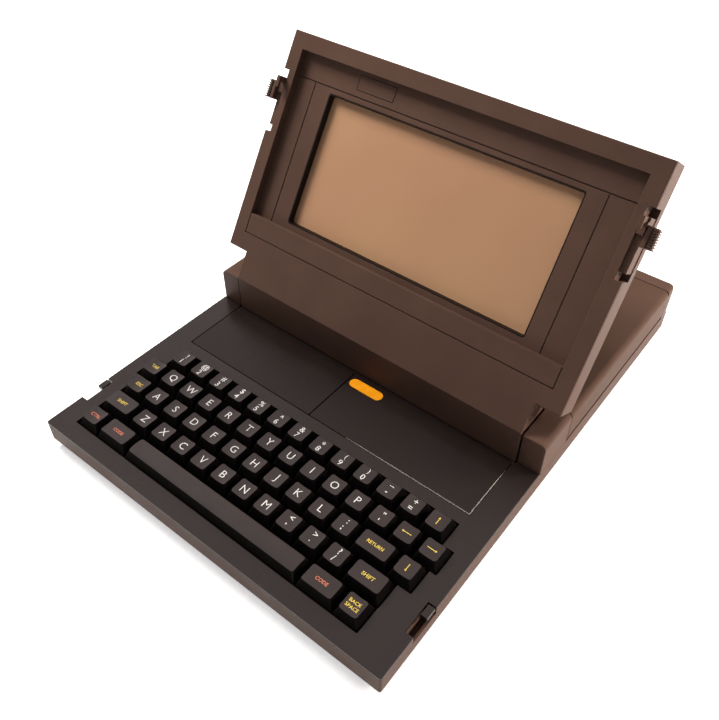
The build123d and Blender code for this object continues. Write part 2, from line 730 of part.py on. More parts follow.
# Lid back shell: a pan with a chin that goes between the shoulders and rounds the hinge line
nose_out = 11.0
shell_top = shelf_out
with BuildPart() as lid_back_shell:
    with BuildSketch(lid_plane.offset(back_out)):
        lid_rectangle(lid_width, lid_wide_start, lid_reach)
    extrude(amount=shell_top - back_out)
    back_edges = lid_back_shell.faces().sort_by(SortBy.AREA)[-2:].sort_by(Axis.Y)[-1].edges()
    fillet(back_edges, lid_edge_radius)
    with BuildSketch(lid_profile):
        with BuildLine():
            Line((lid_wide_start + lid_wall, shell_top), (lid_wide_start + lid_wall, back_out))
            Line((lid_wide_start + lid_wall, back_out), (0, back_out))
            ThreePointArc((0, back_out), (back_out * sin(radians(45)), back_out * sin(radians(45))), (back_out, 0))
            Line((back_out, 0), (back_out, nose_out))
            Line((back_out, nose_out), (chin_end, shell_top))
            Line((chin_end, shell_top), (lid_wide_start + lid_wall, shell_top))
        make_face()
    extrude(amount=chin_half, both=True)
    # Hollow of the pan and of the chin
    with BuildSketch(lid_plane.offset(back_out + lid_wall)):
        lid_rectangle(lid_width - 2 * lid_wall, lid_wide_start + lid_wall, lid_reach - lid_wall)
        lid_rectangle(chin_width - 2 * lid_wall, chin_end, lid_wide_start + 2 * lid_wall)
    extrude(amount=shell_top - back_out, mode=Mode.SUBTRACT)
    # Bosses that hold the hinge pins
    for side in (-1, 1):
        with BuildSketch(Plane.YZ.offset(side * (pin_inner_x - lid_wall))):
            with Locations((hinge_y, hinge_z)):
                Circle(boss_radius)
        extrude(amount=side * (chin_half - pin_inner_x + lid_wall))
        with BuildSketch(Plane.YZ.offset(side * pin_inner_x)):
            with Locations((hinge_y, hinge_z)):
                Circle(pin_radius)
        extrude(amount=side * (chin_half - pin_inner_x + 1), mode=Mode.SUBTRACT)
    # Latch slots in the side walls
    for side in (-1, 1):
        with BuildSketch(lid_plane.offset(latch_slot_out)):
            lid_rectangle(2 * latch_slot_depth, latch_slot_low, latch_slot_high, side * lid_width / 2)
        extrude(amount=shell_top - latch_slot_out + 1, mode=Mode.SUBTRACT)
        # Wall behind each slot
        wall_shift = side * (lid_width / 2 - latch_slot_depth - lid_wall / 2)
        with BuildSketch(lid_plane.offset(back_out + lid_wall / 2)):
            lid_rectangle(lid_wall, latch_slot_low - lid_wall, latch_slot_high + lid_wall, wall_shift)
        extrude(amount=shell_top - back_out - lid_wall / 2)
        floor_shift = side * (lid_width / 2 - latch_slot_depth / 2)
        with BuildSketch(lid_plane.offset(latch_slot_out - lid_wall)):
            lid_rectangle(latch_slot_depth, latch_slot_low - lid_wall, latch_slot_high + lid_wall, floor_shift)
        extrude(amount=lid_wall)
write_part(lid_back_shell, "lid_back_shell")

# Lid bezel: the front frame with its recess walls, chin and the apron below the fold
apron_along = (-lean_cos, -lean_sin)
apron_inward = (lean_sin, -lean_cos)
fold = (-chin_end, face_out)
apron_tip = (fold[0] + apron_along[0] * apron_length, fold[1] + apron_along[1] * apron_length)
tip_inner = (apron_tip[0] + apron_inward[0] * apron_thickness, apron_tip[1] + apron_inward[1] * apron_thickness)
inner_start = (fold[0] + apron_inward[0] * apron_thickness, fold[1] + apron_inward[1] * apron_thickness)
inner_run = (inner_start[1] - shelf_out) / lean_sin
fold_inner = (inner_start[0] + apron_along[0] * inner_run, shelf_out)
recess_wall = 2.0
side_line = 0.6
with BuildPart() as lid_bezel:
    with BuildSketch(lid_plane.offset(shelf_out)):
        lid_rectangle(lid_width, lid_wide_start, lid_reach)
    extrude(amount=bezel_thickness)
    top_face = lid_bezel.faces().sort_by(SortBy.AREA)[-2:].sort_by(Axis.Y)[0]
    chamfer(top_face.edges(), edge_chamfer)
    # Dark line round the side, where the bezel meets the shell
    with BuildSketch(lid_plane.offset(shelf_out)):
        lid_rectangle(lid_width, lid_wide_start, lid_reach)
        with Locations((0, (lid_wide_start + lid_reach) / 2)):
            Rectangle(lid_width - 2 * side_line, lid_reach - lid_wide_start - 2 * side_line, mode=Mode.SUBTRACT)
    extrude(amount=side_line, mode=Mode.SUBTRACT)
    with BuildSketch(lid_profile):
        with BuildLine():
            Polyline((lid_wide_start + lid_wall, face_out), fold, apron_tip, tip_inner, fold_inner,
                     (lid_wide_start + lid_wall, shelf_out), close=True)
        make_face()
    extrude(amount=chin_half, both=True)
    # Recess walls down to the display panel, then the recess itself
    with BuildSketch(lid_plane.offset(recess_floor)):
        lid_rectangle(recess_width + 2 * recess_wall, recess_low - recess_wall, recess_high + recess_wall)
    extrude(amount=shelf_out - recess_floor)
    with BuildSketch(lid_plane.offset(recess_floor)):
        lid_rectangle(recess_width, recess_low, recess_high)
    extrude(amount=recess_depth, mode=Mode.SUBTRACT)
    # Fine groove round the strip below the recess
    with BuildSketch(lid_plane.offset(face_out - groove_depth)):
        lid_rectangle(recess_width, strip_low, recess_low)
        with Locations((0, (strip_low + groove_width + recess_low) / 2)):
            Rectangle(recess_width - 2 * groove_width, recess_low - strip_low - groove_width, mode=Mode.SUBTRACT)
    extrude(amount=groove_depth, mode=Mode.SUBTRACT)
    # Latch slots in the edges
    with BuildSketch(lid_plane.offset(shelf_out)):
        for side in (-1, 1):
            lid_rectangle(2 * latch_slot_depth, latch_slot_low, latch_slot_high, side * lid_width / 2)
    extrude(amount=bezel_thickness, mode=Mode.SUBTRACT)
write_part(lid_bezel, "lid_bezel")

# Display panel, the recess's floor, with the window cut-out and its scored lines
score_high = 158.1
score_left_x = -118.9
score_right_x = 116.1
with BuildPart() as display_panel:
    with BuildSketch(lid_plane.offset(recess_floor - panel_thickness)):
        lid_rectangle(recess_width + 2 * recess_wall, recess_low - recess_wall, recess_high + recess_wall)
        with Locations((window_shift, window_middle)):
            RectangleRounded(window_width + 2 * window_rim, window_height + 2 * window_rim, window_corner,
                             mode=Mode.SUBTRACT)
    extrude(amount=panel_thickness)
    with BuildSketch(lid_plane.offset(recess_floor - groove_depth)):
        lid_rectangle(recess_width, score_high, score_high + groove_width)
        for x in (score_left_x, score_right_x):
            lid_rectangle(groove_width, recess_low, score_high, x)
    extrude(amount=groove_depth, mode=Mode.SUBTRACT)
write_part(display_panel, "display_panel")

# Window frame, a dark well through the panel with a flange behind it
frame_slack = 0.3
frame_outer_width = window_width + 2 * window_rim - frame_slack
frame_outer_height = window_height + 2 * window_rim - frame_slack
frame_edge = 0.8
flange_width = 2.5
well_back = recess_floor - window_well
with BuildPart() as window_frame:
    with BuildSketch(lid_plane.offset(well_back)):
        with Locations((window_shift, window_middle)):
            RectangleRounded(frame_outer_width, frame_outer_height, window_corner)
    extrude(amount=window_well)
    with BuildSketch(lid_plane.offset(well_back)):
        with Locations((window_shift, window_middle)):
            Rectangle(frame_outer_width + 2 * flange_width, frame_outer_height + 2 * flange_width)
    extrude(amount=window_well - panel_thickness)
    with BuildSketch(lid_plane.offset(well_back)):
        with Locations((window_shift, window_middle)):
            RectangleRounded(window_width, window_height, window_corner)
    with BuildSketch(lid_plane.offset(recess_floor)):
        with Locations((window_shift, window_middle)):
            RectangleRounded(frame_outer_width - 2 * frame_edge, frame_outer_height - 2 * frame_edge, window_corner)
    loft(ruled=True, mode=Mode.SUBTRACT)
write_part(window_frame, "window_frame")

# Screen glass and the display unit behind it
glass_out = well_back - glass_thickness
with BuildPart() as screen_glass:
    with BuildSketch(lid_plane.offset(glass_out)):
        with Locations((window_shift, window_middle)):
            Rectangle(window_width + 2 * window_rim, window_height + 2 * window_rim)
    extrude(amount=glass_thickness)
write_part(screen_glass, "screen_glass")
with BuildPart() as display_module:
    with BuildSketch(lid_plane.offset(glass_out - module_depth)):
        with Locations((window_shift, window_middle)):
            Rectangle(window_width + 30, window_height + 14)
    extrude(amount=module_depth)
write_part(display_module, "display_module")

# Hinge pins, pressed into the lid's bosses and turning in the shoulders
with BuildPart() as hinge_pins:
    for side in (-1, 1):
        with BuildSketch(Plane.YZ.offset(side * pin_inner_x)):
            with Locations((hinge_y, hinge_z)):
                Circle(pin_radius)
        extrude(amount=side * (pin_outer_x - pin_inner_x))
write_part(hinge_pins, "hinge_pins")

# Latches: a sliding bar in each edge slot, with a ribbed thumb piece and a hooked tooth
bar_inner_x = lid_width / 2 - latch_slot_depth + slide_gap
bar_outer_x = lid_width / 2 - 0.6
bar_back_out = latch_slot_out + slide_gap
bar_front_out = face_out - bar_sink
tooth_inner_x = pocket_inner_x + 0.9
tooth_outer_x = inner_half_width - slide_gap
knob_start_x = half_width + 0.6
knob_outer_x = bar_outer_x + knob_reach
knob_front_out = face_out + knob_front
knob_back_out = knob_front_out - knob_width
knob_step = (knob_high - knob_low) / knob_ribs
for side, name in ((-1, "latch_left"), (1, "latch_right")):
    with BuildPart() as latch:
        with BuildSketch(lid_plane.offset(bar_back_out)):
            lid_rectangle(bar_outer_x - bar_inner_x, latch_bar_low, latch_bar_high,
                          side * (bar_inner_x + bar_outer_x) / 2)
        extrude(amount=bar_front_out - bar_back_out)
        # Smooth block on the bar, level with the lid's face
        with BuildSketch(lid_plane.offset(bar_front_out)):
            lid_rectangle(bar_outer_x - bar_inner_x, block_low, block_high, side * (bar_inner_x + bar_outer_x) / 2)
        extrude(amount=bar_sink)
        # Neck out of the slot and the thumb piece beside the lid's edge
        with BuildSketch(lid_plane.offset(knob_back_out)):
            lid_rectangle(knob_start_x - bar_outer_x, knob_low, knob_high, side * (bar_outer_x + knob_start_x) / 2)
        extrude(amount=bar_front_out - knob_back_out)
        with BuildSketch(lid_plane.offset(knob_back_out)):
            lid_rectangle(knob_outer_x - knob_start_x, knob_low, knob_high, side * (knob_start_x + knob_outer_x) / 2)
        extrude(amount=knob_width)
        # Groove along the thumb piece, and grooves across its outer part that leave the ribs
        with BuildSketch(lid_plane.offset(knob_front_out - knob_groove)):
            lid_rectangle(knob_groove, knob_low, knob_high, side * (knob_outer_x - rib_strip - knob_groove / 2))
        extrude(amount=knob_groove, mode=Mode.SUBTRACT)
        for cut_width, cut_back in ((2 * rib_depth, knob_back_out), (2 * rib_strip, knob_front_out - rib_depth)):
            with BuildSketch(lid_plane.offset(cut_back)):
                for rib in range(knob_ribs):
                    groove_low = knob_low + (rib + 0.55) * knob_step
                    lid_rectangle(cut_width, groove_low, groove_low + 0.45 * knob_step, side * knob_outer_x)
            extrude(amount=knob_front_out - cut_back, mode=Mode.SUBTRACT)
        # Tooth with its barb
        tooth_x = side * (tooth_inner_x + tooth_outer_x) / 2
        tooth_width = tooth_outer_x - tooth_inner_x
        with BuildSketch(lid_plane.offset(bar_front_out)):
            lid_rectangle(tooth_width, latch_bar_high - tooth_length, latch_bar_high, tooth_x)
        extrude(amount=face_out + tooth_out - bar_front_out)
        with BuildSketch(lid_plane.offset(face_out + tooth_out - barb_thickness)):
            lid_rectangle(tooth_width, latch_bar_high - tooth_length - barb_length, latch_bar_high, tooth_x)
        extrude(amount=barb_thickness)
    write_part(latch, name)
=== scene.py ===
from math import atan2, cos, pi, radians, sin, sqrt

import bmesh
import bpy
from mathutils import Matrix, Vector


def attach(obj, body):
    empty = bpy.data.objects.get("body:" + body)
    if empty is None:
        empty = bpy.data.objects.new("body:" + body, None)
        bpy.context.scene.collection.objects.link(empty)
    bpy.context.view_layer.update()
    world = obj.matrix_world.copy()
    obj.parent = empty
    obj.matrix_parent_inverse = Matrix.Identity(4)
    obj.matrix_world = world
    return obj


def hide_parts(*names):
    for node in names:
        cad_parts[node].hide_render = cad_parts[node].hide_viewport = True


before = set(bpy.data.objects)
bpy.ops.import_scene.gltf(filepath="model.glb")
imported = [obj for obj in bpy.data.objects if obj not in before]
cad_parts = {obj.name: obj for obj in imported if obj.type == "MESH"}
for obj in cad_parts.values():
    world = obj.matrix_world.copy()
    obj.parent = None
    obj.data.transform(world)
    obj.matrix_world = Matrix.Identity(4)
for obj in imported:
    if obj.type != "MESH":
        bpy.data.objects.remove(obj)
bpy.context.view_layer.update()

# Camera
# Stands in front of the right front corner and looks down at the keyboard and the open lid.
# Its place and lens were fitted to the photograph's edges.
camera_place = (0.252295, -0.344653, 0.450157)
camera_right = Vector((0.79115775, 0.61142992, 0.01492944))
camera_up = Vector((-0.42915507, 0.53758096, 0.72583238))
camera_back = Vector((0.43576984, -0.58065495, 0.68770959))
camera = bpy.data.objects.new("camera", bpy.data.cameras.new("camera"))
camera.data.sensor_width = 36.0
camera.data.lens = 39.895
camera.data.shift_x = -0.0219
camera.data.shift_y = -0.0274
camera.data.clip_start = 0.01
camera_turn = Matrix((camera_right, camera_up, camera_back)).transposed().to_4x4()
camera.matrix_world = Matrix.Translation(camera_place) @ camera_turn
bpy.context.scene.collection.objects.link(camera)
bpy.context.scene.camera = camera


# Studio
# A white table top that runs on to the horizon, under a soft box above and to the left, with a
# lower one behind on the right, a large weak panel behind on the left and a weak fill in front.
class Socket:
    """An output socket. Sums on it add Math nodes, and make() adds any other node to its tree."""

    def __init__(self, tree, socket=None):
        self.tree = tree
        self.socket = socket

    def make(self, kind, settings=None, sockets=None, out=0):
        """Adds a node, sets its settings, then its sockets' values or links, and gives one output."""
        node = self.tree.nodes.new("ShaderNode" + kind)
        for name, value in (settings or {}).items():
            setattr(node, name, value)
        for name, value in (sockets or {}).items():
            if isinstance(value, Socket):
                self.tree.links.new(value.socket, node.inputs[name])
            else:
                node.inputs[name].default_value = value
        return Socket(self.tree, node.outputs[out] if node.outputs else None)

    def sum(self, operation, first, second):
        return self.make("Math", {"operation": operation}, {0: first, 1: second})

    def __add__(self, other):
        return self.sum("ADD", self, other)

    __radd__ = __add__

    def __rsub__(self, other):
        return self.sum("SUBTRACT", other, self)

    def __mul__(self, other):
        return self.sum("MULTIPLY", self, other)

    __rmul__ = __mul__

    def between(self, low, high):
        """0 up to low, 1 from high, and a straight ramp between them."""
        return self.make("MapRange", {"clamp": True}, {"Value": self, "From Min": low, "From Max": high})

    def mix(self, first, second):
        """first where this value is 0 and second where it is 1, as colours."""
        return self.make("Mix", {"data_type": "RGBA"}, {0: self, 6: first, 7: second}, out=2)


def new_material(name):
    """A material with an empty tree, and its object's coordinates, from which its nodes are made."""
    material = bpy.data.materials.new(name)
    material.use_nodes = True
    material.node_tree.nodes.clear()
    return material, Socket(material.node_tree).make("TexCoord", out=3)


def end_with(start, surface):
    """Joins a shader to the material's output."""
    start.make("OutputMaterial", None, {"Surface": surface})


def seen_directly(start):
    """1 for rays from the camera, a mirror or glass, and a second value for the mirror's rays alone."""
    rays = start.make("LightPath").socket.node.outputs
    camera_ray, mirror_ray, glass_ray = (
        Socket(start.tree, rays[name]) for name in ("Is Camera Ray", "Is Glossy Ray", "Is Transmission Ray"))
    return start.sum("MAXIMUM", start.sum("MAXIMUM", camera_ray, mirror_ray), glass_ray), mirror_ray


table_half, table_height = 6.0, -0.0002
near_glow, far_glow = 0.55, 1.0
glow_starts, glow_full = 0.7, 2.0
table_material, place = new_material("white_table")
far = place.make("VectorMath", {"operation": "LENGTH"}, {0: place}, out=1).between(glow_starts, glow_full)
seen = seen_directly(place)[0]
glow = place.make("Emission", None, {
    "Color": (1, 1, 1, 1), "Strength": (near_glow + (far_glow - near_glow) * far) * seen})
lit = place.make("BsdfDiffuse", None, {"Color": (0.90, 0.90, 0.90, 1)})
end_with(place, place.make("AddShader", None, {0: glow, 1: lit}))
table_corners = [(x * table_half, y * table_half, table_height) for x, y in ((-1, -1), (1, -1), (1, 1), (-1, 1))]
table_mesh = bpy.data.meshes.new("table")
table_mesh.from_pydata(table_corners, [], [(0, 1, 2, 3)])
table_mesh.materials.append(table_material)
table = bpy.data.objects.new("table", table_mesh)
bpy.context.scene.collection.objects.link(table)

# The sky is white where it is seen, and gives a pale light that grows overhead.
horizon_light, zenith_light = 0.02, 0.29
sky_colour = (1, 1, 1, 1)
sky_in_gloss = (1.0, 0.88, 0.85, 1)
world = bpy.data.worlds.new("studio")
world.use_nodes = True
world.node_tree.nodes.clear()
start = Socket(world.node_tree)
seen, mirrored = seen_directly(start)
rise = start.make("SeparateXYZ", None, {0: start.make("TexCoord")}, out=2)
pale = horizon_light + (zenith_light - horizon_light) * rise.between(0.0, 1.0)
sky = start.make("Background", None, {
    "Color": mirrored.mix(sky_colour, sky_in_gloss), "Strength": start.sum("MAXIMUM", pale, seen)})
start.make("OutputWorld", None, {"Surface": sky})
bpy.context.scene.world = world
bpy.context.scene.view_settings.view_transform = "Standard"


def soft_box(name, place, aim, size, power, colour):
    """A square soft box, turned to face a point. Its own mirror image is kept off the object."""
    lamp = bpy.data.lights.new(name, "AREA")
    lamp.size = size
    lamp.energy = power
    lamp.color = colour
    holder = bpy.data.objects.new(name, lamp)
    direction = Vector(aim) - Vector(place)
    holder.visible_glossy = False
    holder.matrix_world = Matrix.Translation(place) @ direction.to_track_quat("-Z", "Y").to_matrix().to_4x4()
    bpy.context.scene.collection.objects.link(holder)


soft_box("soft_box_above", (-0.74, 0.02, 0.98), (0, 0, 0.05), 0.45, 20.0, (1.0, 0.97, 0.94))
soft_box("soft_box_right", (0.98, 0.75, 0.36), (0, 0, 0.06), 0.34, 27.0, (1.0, 0.93, 0.86))
soft_box("panel_behind", (-0.80, 1.10, 1.30), (0, 0, 0.05), 1.2, 1.0, (1.0, 0.97, 0.94))
soft_box("fill_in_front", (0.50, -1.25, 0.45), (0, 0, 0.1), 0.6, 0.4, (1.0, 0.96, 0.92))


# Case
# The tray, rear housing, shoulders, hinge trough, lid, latches and leg, moulded in dark brown
# plastic. The surface has a fine grain, and its edges are slightly paler: partly rubbed wear,
# partly a painted highlight where the light catches them.
cloud_scale = 22.0
tone_spread = 0.1
roughness_spread = 0.12
pit_share = 0.4
bump_strength = 0.35
case_colour, case_edge = (0.094, 0.053, 0.039), (0.16, 0.105, 0.083)


def moulded_plastic(name, colour, edge_wear_and_highlight, grain, grain_depth, roughness, edge_width, shine):
    """Moulded plastic with a fine grain, cloudy tone and paler edges: partly rubbed wear, partly a painted
    highlight.
    """
    material, place = new_material(name)
    cloud = place.make("TexNoise", None, {"Vector": place, "Scale": cloud_scale, "Detail": 3.0})
    fine = place.make("TexNoise", None, {"Vector": place, "Scale": grain, "Detail": 2.0})
    pits = place.make("TexVoronoi", {"feature": "SMOOTH_F1"}, {"Vector": place, "Scale": grain * 0.8})
    rounded = place.make("Bevel", {"samples": 4}, {"Radius": edge_width})
    flat = place.make("NewGeometry", None, None, out=1)
    turned = place.make("VectorMath", {"operation": "DOT_PRODUCT"}, {0: rounded, 1: flat}, out=1)
    # Paler towards the edges, where the bevel turns: partly rubbed wear, partly a painted highlight.
    edge = (1 - turned).between(0.02, 0.35) * (0.55 + 0.45 * cloud)
    shade = cloud.between(0.35, 0.7)
    darker, lighter = (tuple(tone * c for c in colour) + (1,) for tone in (1 - tone_spread, 1 + tone_spread))
    height = (1 - pit_share) * fine + pit_share * pits
    bump = place.make("Bump", None, {
        "Strength": bump_strength, "Distance": grain_depth, "Height": height, "Normal": rounded})
    end_with(place, place.make("BsdfPrincipled", None, {
        "Base Color": edge.mix(shade.mix(darker, lighter), edge_wear_and_highlight + (1,)),
        "Roughness": roughness + roughness_spread * shade, "Normal": bump, "IOR": 1.48,
        "Specular IOR Level": shine}))
    return material


def dress(material, *names):
    """Puts a material on nodes of the frame."""
    for name in names:
        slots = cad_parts[name].data.materials
        slots.clear()
        slots.append(material)


case_brown = moulded_plastic("case_brown", case_colour, case_edge, grain=900.0, grain_depth=0.0001,
                             roughness=0.46, edge_width=0.0005, shine=0.12)
dress(case_brown, "bottom_tray", "rear_rim", "shoulder_left", "shoulder_right", "lid_back_shell", "lid_bezel",
      "display_panel", "hinge_trough", "tilt_leg", "latch_left", "latch_right")
cover_brown = moulded_plastic("cover_brown", (0.084, 0.048, 0.034), case_edge, grain=900.0,
                              grain_depth=0.0001, roughness=0.48, edge_width=0.0005, shine=0.08)
dress(cover_brown, "rear_cover")


# Deck
# The plate round the keys and the two snap-in covers behind them, moulded in near-black plastic
# with a coarse pebble grain. A pale strip along the right cover's front and outer edges is a
# painted highlight, for the light that glints on that edge.
deck_colour = (0.0125, 0.0082, 0.0072)
deck_pebble = moulded_plastic("deck_pebble", deck_colour, (0.07, 0.05, 0.043), grain=1200.0,
                              grain_depth=0.00016, roughness=0.24, edge_width=0.0004, shine=0.5)
dress(deck_pebble, "deck_plate", "module_bay", "latch_catches")
cover_pebble = moulded_plastic("cover_pebble", deck_colour, (0.05, 0.036, 0.031), grain=1200.0,
                               grain_depth=0.00016, roughness=0.22, edge_width=0.0004, shine=0.32)
dress(cover_pebble, "deck_cover_left", "deck_cover_right")

# A pale strip laid just over the right cover's front and outer edges: a painted highlight, not wear.
painted_glint_colour = (0.38, 0.34, 0.31)
painted_glint_finish = moulded_plastic("painted_glint_finish", painted_glint_colour, painted_glint_colour, grain=1500.0, grain_depth=0.00005,
                              roughness=0.5, edge_width=0.0002, shine=0.2)
cover_front, cover_outer, cover_face = -0.0743, 0.1268, 0.024
glint_width, glint_tip, glint_outside = 0.0004, 0.0001, 0.0001
glint_drop, glint_proud = 0.0003, 0.0001
front_start, front_full = 0.026, 0.060
side_full, side_end = -0.050, -0.030


def new_piece(name, mesh):
    """An object of a mesh, linked to the scene."""
    piece = bpy.data.objects.new(name, mesh)
    bpy.context.scene.collection.objects.link(piece)
    return piece


def piece_of(name, shape, *finishes):
    """A piece from a bmesh, with its materials."""
    mesh = bpy.data.meshes.new(name)
    shape.to_mesh(mesh)
    shape.free()
    for finish in finishes:
        mesh.materials.append(finish)
    return new_piece(name, mesh)


low_y, low_x = cover_front - glint_outside, cover_outer + glint_outside
high_y, high_x = cover_front + glint_width, cover_outer - glint_width
low_side = [(front_start, low_y), (front_full, low_y), (low_x, low_y), (low_x, side_full), (low_x, side_end)]
high_side = [(front_start, cover_front + glint_tip), (front_full, high_y), (high_x, high_y), (high_x, side_full),
             (cover_outer - glint_tip, side_end)]
shape = bmesh.new()
low = [shape.verts.new((x, y, cover_face - glint_drop)) for x, y in low_side]
high = [shape.verts.new((x, y, cover_face + glint_proud)) for x, y in high_side]
for corners in zip(low, low[1:], high[1:], high):
    shape.faces.new(corners)
rubbed_edge = piece_of("rubbed_edge", shape, painted_glint_finish)
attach(rubbed_edge, "base")


# Amber inlay
# A plain glossy tablet of clear amber plastic, pressed into a recess in the right cover. Fine
# streaks in it catch the light.
amber_gloss, place = new_material("amber_gloss")
streak = place.make("TexNoise", None, {"Vector": place, "Scale": 160.0, "Detail": 2.0})
end_with(place, place.make("BsdfPrincipled", None, {
    "Base Color": streak.between(0.3, 0.7).mix((0.74, 0.265, 0.006, 1), (0.82, 0.32, 0.010, 1)),
    "Roughness": 0.22 + 0.1 * streak, "Coat Weight": 0.4, "Coat Roughness": 0.1}))
dress(amber_gloss, "accent_inlay")


# Key caps
# Moulded caps with steep sides and rounded corners on square stems. Single keys are dished across,
# wide keys are nearly flat and the space bar is slightly crowned.
key_pitch = 0.01905
key_gap = 0.00095
cap_depth = key_pitch - key_gap
cap_base = 0.0228
cap_top = 0.03095
top_half_width = 0.00645
top_half_depth = 0.00625
cap_taper = cap_depth - 2 * top_half_width
dish_radius, dish_drop = 0.024, 0.0002
bar_drop, bar_crown = 0.0001, 0.0009
wide_drop, wide_dip = 0.0004, 0.0003
top_corner = 0.0017
lip_depth = 0.0003
flat_inset = 0.0006
# Each wall level is its share of the height and its corner's radius, and each lip level is how far
# it stands in from the rim and below the dished top.
wall_levels = ((0.0, 0.0010), (0.03, 0.0010), (0.35, 0.0012), (0.7, 0.0015),
               (0.96, top_corner), (1.0, top_corner))
lip_levels = ((0.00005, 0.00014), (0.00016, 0.00004), (0.00032, 0.0), (flat_inset, 0.0))
top_shares = (0.8, 0.55, 0.3, 0.1)
top_run, inner_corner = 0.0054, 0.0014
stem_half = 0.0021
stem_foot = 0.0156
stem_overlap = 0.001
bar_stems = (-0.05, 0.0, 0.05)
row_one_y = -0.094
row_left = {1: -0.1223, 2: -0.1326, 3: -0.1278, 4: -0.1279, 5: -0.1281}


def row_y(row):
    return row_one_y - (row - 1) * key_pitch


def cap_surface(x, y, units):
    """Height of a cap's top at a point counted from its middle."""
    if units == 1:
        sag = sqrt(dish_radius ** 2 - x ** 2) - sqrt(dish_radius ** 2 - top_half_width ** 2)
        return cap_top - dish_drop - sag
    if units > 2:
        return cap_top - bar_drop - bar_crown * (y / top_half_depth) ** 2
    return cap_top - wide_drop + wide_dip * (y / top_half_depth) ** 2


def rounded_ring(half_x, half_y, radius):
    """Points round a rectangle with round corners, anticlockwise, close enough to follow a dish."""
    corner_steps, side_steps = 4, 8
    ring = []
    turns = ((1, 1), (-1, 1), (-1, -1), (1, -1))
    for quarter, (sign_x, sign_y) in enumerate(turns):
        middle = Vector((sign_x * (half_x - radius), sign_y * (half_y - radius)))
        angles = [(quarter + step / corner_steps) * pi / 2 for step in range(corner_steps + 1)]
        ring += [middle + radius * Vector((cos(angle), sin(angle))) for angle in angles]
        next_x, next_y = turns[(quarter + 1) % 4]
        side = Vector(((next_x - sign_x) * (half_x - radius), (next_y - sign_y) * (half_y - radius)))
        ring += [ring[-1] + side / side_steps * step for step in range(1, side_steps)]
    return ring


def join_rings(shape, lower, upper):
    for first in range(len(lower)):
        second = (first + 1) % len(lower)
        shape.faces.new((lower[first], lower[second], upper[second], upper[first]))


def close_levels(shape, levels):
    """Walls between rings that follow one another, and a face over the first and the last."""
    for lower, upper in zip(levels, levels[1:]):
        join_rings(shape, lower, upper)
    shape.faces.new(levels[-1])
    shape.faces.new(reversed(levels[0]))


def smooth_piece(name, shape, sharp_angle):
    """A piece from a bmesh, smooth except where its faces meet at more than an angle."""
    piece = piece_of(name, shape)
    piece.data.shade_smooth()
    piece.data.set_sharp_from_angle(angle=radians(sharp_angle))
    return piece


def key_cap(name, units):
    """One cap with its middle at the origin, seen from above."""
    shape = bmesh.new()
    base_x, base_y = (units * key_pitch - key_gap) / 2, cap_depth / 2
    top_x = base_x - cap_taper / 2
    rim = [cap_surface(p.x, p.y, units) - lip_depth for p in rounded_ring(top_x, top_half_depth, top_corner)]
    levels = []
    for rise, corner in wall_levels:
        ring = rounded_ring(base_x + (top_x - base_x) * rise, base_y + (top_half_depth - base_y) * rise, corner)
        levels.append([shape.verts.new((p.x, p.y, cap_base + (top - cap_base) * rise))
                       for p, top in zip(ring, rim)])
    for inset, drop in lip_levels:
        ring = rounded_ring(top_x - inset, top_half_depth - inset, top_corner - inset / 2)
        levels.append([shape.verts.new((p.x, p.y, cap_surface(p.x, p.y, units) - drop)) for p in ring])
    for share in top_shares:
        half_x = top_x - flat_inset - (1 - share) * top_run
        ring = rounded_ring(half_x, (top_half_depth - flat_inset) * share, inner_corner * share)
        levels.append([shape.verts.new((p.x, p.y, cap_surface(p.x, p.y, units))) for p in ring])
    close_levels(shape, levels)
    for stem_x in (bar_stems if units > 2 else (0.0,)):
        corners = [shape.verts.new((stem_x + x, y, z)) for z in (stem_foot, cap_base + stem_overlap)
                   for x, y in ((-stem_half, -stem_half), (stem_half, -stem_half),
                                (stem_half, stem_half), (-stem_half, stem_half))]
        shape.faces.new(corners[3::-1])
        shape.faces.new(corners[4:])
        join_rings(shape, corners[:4], corners[4:])
    return smooth_piece(name, shape, 50)


# A Geometry Nodes tree that sets copies of a shape side by side in a row, from the row's first one.
shape_row = bpy.data.node_groups.new("shape_row", "GeometryNodeTree")
for socket_name, socket_kind in (("Geometry", "Geometry"), ("Shape", "Object"), ("Count", "Int"),
                                 ("First", "Vector"), ("Pitch", "Vector"), ("Finish", "Material")):
    shape_row.interface.new_socket(name=socket_name, in_out="INPUT", socket_type="NodeSocket" + socket_kind)
shape_row.interface.new_socket(name="Geometry", in_out="OUTPUT", socket_type="NodeSocketGeometry")
row_in = shape_row.nodes.new("NodeGroupInput")
row_out = shape_row.nodes.new("NodeGroupOutput")
row_line = shape_row.nodes.new("GeometryNodeMeshLine")
row_shape = shape_row.nodes.new("GeometryNodeObjectInfo")
row_copies = shape_row.nodes.new("GeometryNodeInstanceOnPoints")
row_real = shape_row.nodes.new("GeometryNodeRealizeInstances")
row_finish = shape_row.nodes.new("GeometryNodeSetMaterial")
for source, output, target, entry in (
        (row_in, "Count", row_line, "Count"), (row_in, "First", row_line, "Start Location"),
        (row_in, "Pitch", row_line, "Offset"), (row_in, "Shape", row_shape, "Object"),
        (row_line, "Mesh", row_copies, "Points"), (row_shape, "Geometry", row_copies, "Instance"),
        (row_copies, "Instances", row_real, "Geometry"), (row_real, "Geometry", row_finish, "Geometry"),
        (row_in, "Finish", row_finish, "Material"), (row_finish, "Geometry", row_out, "Geometry")):
    shape_row.links.new(source.outputs[output], target.inputs[entry])


